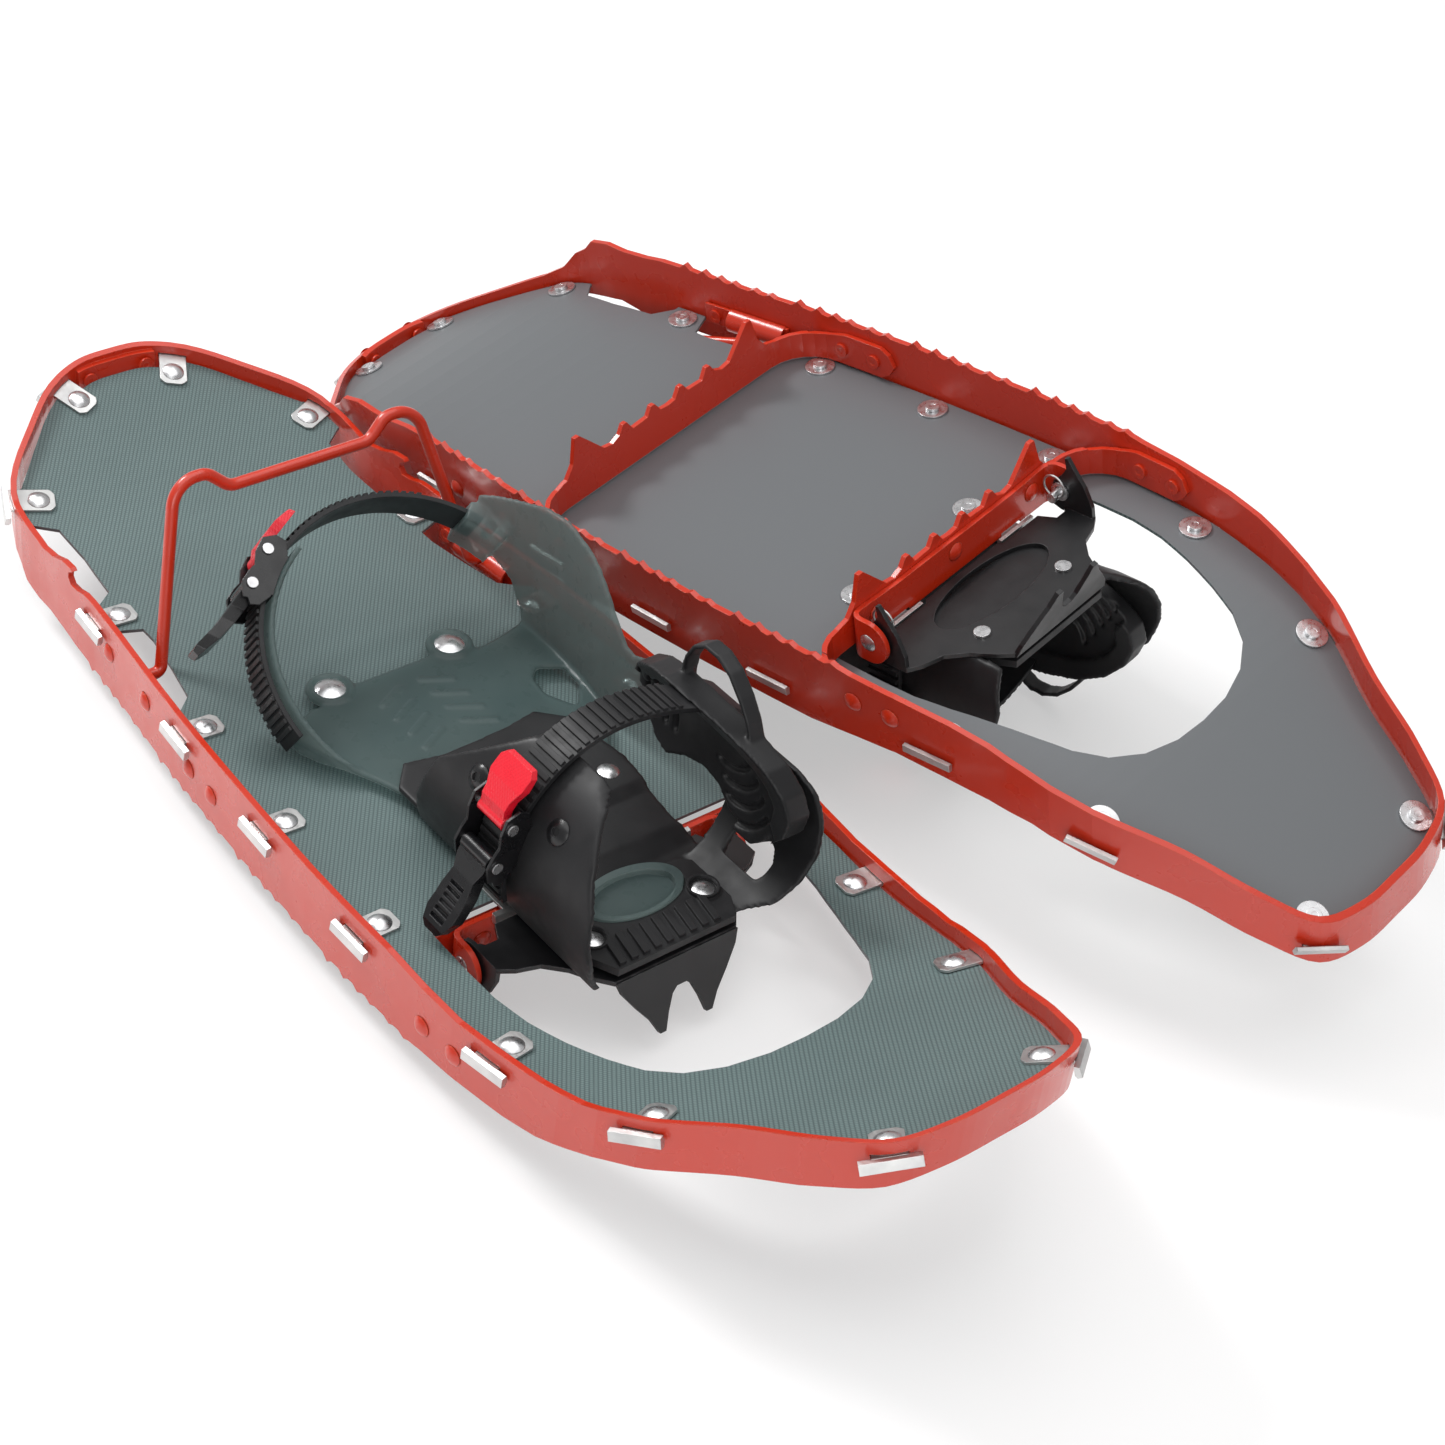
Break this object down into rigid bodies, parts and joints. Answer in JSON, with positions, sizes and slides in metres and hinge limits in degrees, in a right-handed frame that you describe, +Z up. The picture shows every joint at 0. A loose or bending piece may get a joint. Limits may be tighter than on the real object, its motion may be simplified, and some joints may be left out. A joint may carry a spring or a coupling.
{
  "type": "snowshoes",
  "caption": "Pair of snowshoes: toothed metal hoops with clipped fabric decks, pivoting strap bindings with crampons, and fold-up heel lifts.",
  "frame": {"origin": "the middle of the bottom face of the box round the pair as it lies", "axes": "+X to the wearer's right, +Y to the toe, +Z up, all of the right shoe"},
  "size_m": [0.4398, 0.6529, 0.1378],
  "materials": {
    "frame": "gloss powder coat",
    "frame_hardware": "gloss powder coat",
    "deck": "matte coated weave",
    "clip_steel": "satin",
    "rivet_alu": "satin",
    "crampon": "matte black",
    "strap_black": "matte moulded",
    "buckle_black": "satin moulded",
    "smoky": "translucent smoky",
    "release_red": "satin moulded"
  },
  "bodies": {
    "right_shoe": {"right_frame": "frame", "right_deck": "deck", "right_deck_clips": "clip_steel", "right_deck_rivets": "rivet_alu", "right_deck_washers": "rivet_alu", "right_frame_rivets": "frame_hardware", "right_rear_crossmember": "frame", "right_front_crossmember": "frame", "right_pivot_bracket": "frame", "right_bail_brackets": "frame", "right_pivot_pins": "rivet_alu", "right_split_rings": "clip_steel"},
    "right_binding": {"right_crampon": "crampon", "right_toe_platform": "strap_black", "right_toe_window": "smoky", "right_toe_base": "strap_black", "right_heel_harness": "smoky", "right_binding_rivets": "rivet_alu", "right_wing_rivets": "buckle_black", "right_toe_ladder_strap": "strap_black", "right_toe_strap_pad": "strap_black", "right_toe_buckle_frame": "buckle_black", "right_heel_ladder_strap": "strap_black", "right_heel_buckle_frame": "buckle_black", "right_buckle_pins": "buckle_black"},
    "right_heel_lift_body": {"right_heel_lift": "frame_hardware"},
    "right_toe_buckle_lever_body": {"right_toe_buckle_lever": "buckle_black"},
    "right_toe_buckle_release_body": {"right_toe_buckle_release": "release_red"},
    "right_heel_buckle_lever_body": {"right_heel_buckle_lever": "buckle_black"},
    "right_heel_buckle_release_body": {"right_heel_buckle_release": "release_red"},
    "left_shoe": {"left_frame": "frame", "left_deck": "deck", "left_deck_clips": "clip_steel", "left_deck_rivets": "rivet_alu", "left_deck_washers": "rivet_alu", "left_frame_rivets": "frame_hardware", "left_rear_crossmember": "frame", "left_front_crossmember": "frame", "left_pivot_bracket": "frame", "left_bail_brackets": "frame", "left_pivot_pins": "rivet_alu", "left_split_rings": "clip_steel"},
    "left_binding": {"left_crampon": "crampon", "left_toe_platform": "strap_black", "left_toe_window": "smoky", "left_toe_base": "strap_black", "left_heel_harness": "smoky", "left_binding_rivets": "rivet_alu", "left_wing_rivets": "buckle_black", "left_toe_ladder_strap": "strap_black", "left_toe_strap_pad": "strap_black", "left_toe_buckle_frame": "buckle_black", "left_heel_ladder_strap": "strap_black", "left_heel_buckle_frame": "buckle_black", "left_buckle_pins": "buckle_black"},
    "left_heel_lift_body": {"left_heel_lift": "frame_hardware"},
    "left_toe_buckle_lever_body": {"left_toe_buckle_lever": "buckle_black"},
    "left_toe_buckle_release_body": {"left_toe_buckle_release": "release_red"},
    "left_heel_buckle_lever_body": {"left_heel_buckle_lever": "buckle_black"},
    "left_heel_buckle_release_body": {"left_heel_buckle_release": "release_red"}
  },
  "joints": [
    {"name": "right_binding_pivot", "type": "hinge", "parent": "right_shoe", "child": "right_binding", "pos_m": [0.11173, 0.09966, 0.0267], "axis": [-1, 0, 0], "range_deg": [0, 30]},
    {"name": "right_heel_lift", "type": "hinge", "parent": "right_shoe", "child": "right_heel_lift_body", "pos_m": [0.11173, -0.11334, 0.0372], "axis": [-1, 0, 0], "range_deg": [-64, 6]},
    {"name": "right_toe_lever", "type": "hinge", "parent": "right_binding", "child": "right_toe_buckle_lever_body", "pos_m": [0.1711, 0.09166, 0.07668], "axis": [0, -1, 0], "range_deg": [0, 60]},
    {"name": "right_toe_release", "type": "hinge", "parent": "right_binding", "child": "right_toe_buckle_release_body", "pos_m": [0.16496, 0.09166, 0.09361], "axis": [0, 1, 0], "range_deg": [0, 15]},
    {"name": "right_heel_lever", "type": "hinge", "parent": "right_binding", "child": "right_heel_buckle_lever_body", "pos_m": [0.16892, -0.08661, 0.08746], "axis": [0, -0.5621, -0.8271], "range_deg": [0, 60]},
    {"name": "right_heel_release", "type": "hinge", "parent": "right_binding", "child": "right_heel_buckle_release_body", "pos_m": [0.15534, -0.0964, 0.09411], "axis": [0, 0.5621, 0.8271], "range_deg": [0, 15]},
    {"name": "left_binding_pivot", "type": "hinge", "parent": "left_shoe", "child": "left_binding", "pos_m": [-0.10727, 0.072, 0.10364], "axis": [0.9742, 0.1482, -0.1704], "range_deg": [0, 30]},
    {"name": "left_heel_lift", "type": "hinge", "parent": "left_shoe", "child": "left_heel_lift_body", "pos_m": [-0.08223, -0.13634, 0.06562], "axis": [0.9742, 0.1482, -0.1704], "range_deg": [0, 70]},
    {"name": "left_toe_lever", "type": "hinge", "parent": "left_binding", "child": "left_toe_buckle_lever_body", "pos_m": [-0.05776, 0.0782, 0.04367], "axis": [-0.1268, 0.9833, 0.1304], "range_deg": [0, 60]},
    {"name": "left_toe_release", "type": "hinge", "parent": "left_binding", "child": "left_toe_buckle_release_body", "pos_m": [-0.0669, 0.07907, 0.02817], "axis": [0.1268, -0.9833, -0.1304], "range_deg": [0, 15]},
    {"name": "left_heel_lever", "type": "hinge", "parent": "left_binding", "child": "left_heel_buckle_lever_body", "pos_m": [-0.03745, -0.10104, 0.01673], "axis": [-0.2229, 0.5111, -0.8301], "range_deg": [0, 60]},
    {"name": "left_heel_release", "type": "hinge", "parent": "left_binding", "child": "left_heel_buckle_release_body", "pos_m": [-0.05024, -0.11307, 0.01276], "axis": [0.2229, -0.5111, 0.8301], "range_deg": [0, 15]},
    {"name": "left_shoe_place", "type": "slide", "parent": "right_shoe", "child": "left_shoe", "axis": [-1, 0, 0], "range_m": [0, 0.15]}
  ]
}
